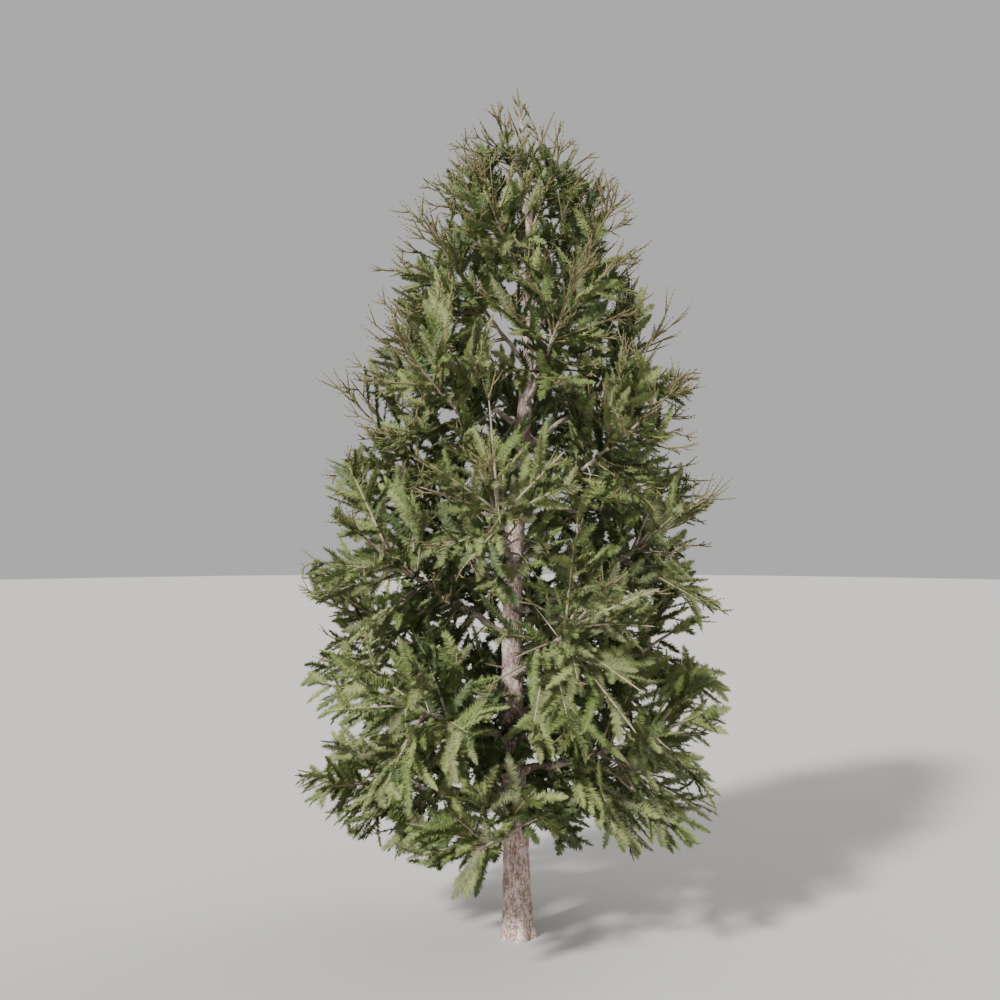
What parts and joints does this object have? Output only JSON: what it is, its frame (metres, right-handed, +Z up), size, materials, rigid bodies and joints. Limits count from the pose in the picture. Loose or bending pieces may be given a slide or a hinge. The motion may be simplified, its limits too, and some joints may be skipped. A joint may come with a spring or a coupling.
{
  "type": "larch tree",
  "caption": "Young open-grown larch: a swaying flared trunk, boughs in a rising spiral and a pointed crown of feathery needle sprays, cut flat at ground level.",
  "frame": {"origin": "middle of the flat cut at ground level, under the trunk", "axes": "+Z up along the trunk; the side that the picture shows faces -Y, with +X to its right"},
  "size_m": [5.0735, 5.0872, 10.0008],
  "materials": {
    "trunk_bark": "rough scaly bark, pale pinkish grey-brown",
    "bough_bark": "matt fissured bark, grey-brown",
    "needles": "soft olive green needles"
  },
  "bodies": {
    "root": {"trunk": "trunk_bark", "bough_01": "bough_bark", "bough_02": "bough_bark", "bough_03": "bough_bark", "bough_04": "bough_bark", "bough_05": "bough_bark", "bough_06": "bough_bark", "bough_07": "bough_bark", "bough_08": "bough_bark", "bough_09": "bough_bark", "bough_10": "bough_bark", "bough_11": "bough_bark", "bough_12": "bough_bark", "bough_13": "bough_bark", "bough_14": "bough_bark", "bough_15": "bough_bark", "bough_16": "bough_bark", "bough_17": "bough_bark", "bough_18": "bough_bark", "bough_19": "bough_bark", "bough_20": "bough_bark", "bough_21": "bough_bark", "bough_22": "bough_bark", "foliage_01": "needles", "foliage_02": "needles", "foliage_03": "needles", "foliage_04": "needles", "foliage_05": "needles", "foliage_06": "needles", "foliage_07": "needles", "foliage_08": "needles", "foliage_09": "needles", "foliage_10": "needles", "foliage_11": "needles", "foliage_12": "needles", "foliage_13": "needles", "foliage_14": "needles", "foliage_15": "needles", "foliage_16": "needles", "foliage_17": "needles", "foliage_18": "needles", "foliage_19": "needles", "foliage_20": "needles", "foliage_21": "needles", "foliage_22": "needles", "foliage_23": "needles", "foliage_24": "needles", "foliage_25": "needles", "foliage_26": "needles", "foliage_27": "needles", "foliage_28": "needles", "foliage_29": "needles", "foliage_30": "needles", "foliage_31": "needles", "foliage_32": "needles", "foliage_33": "needles", "foliage_34": "needles"}
  },
  "joints": []
}
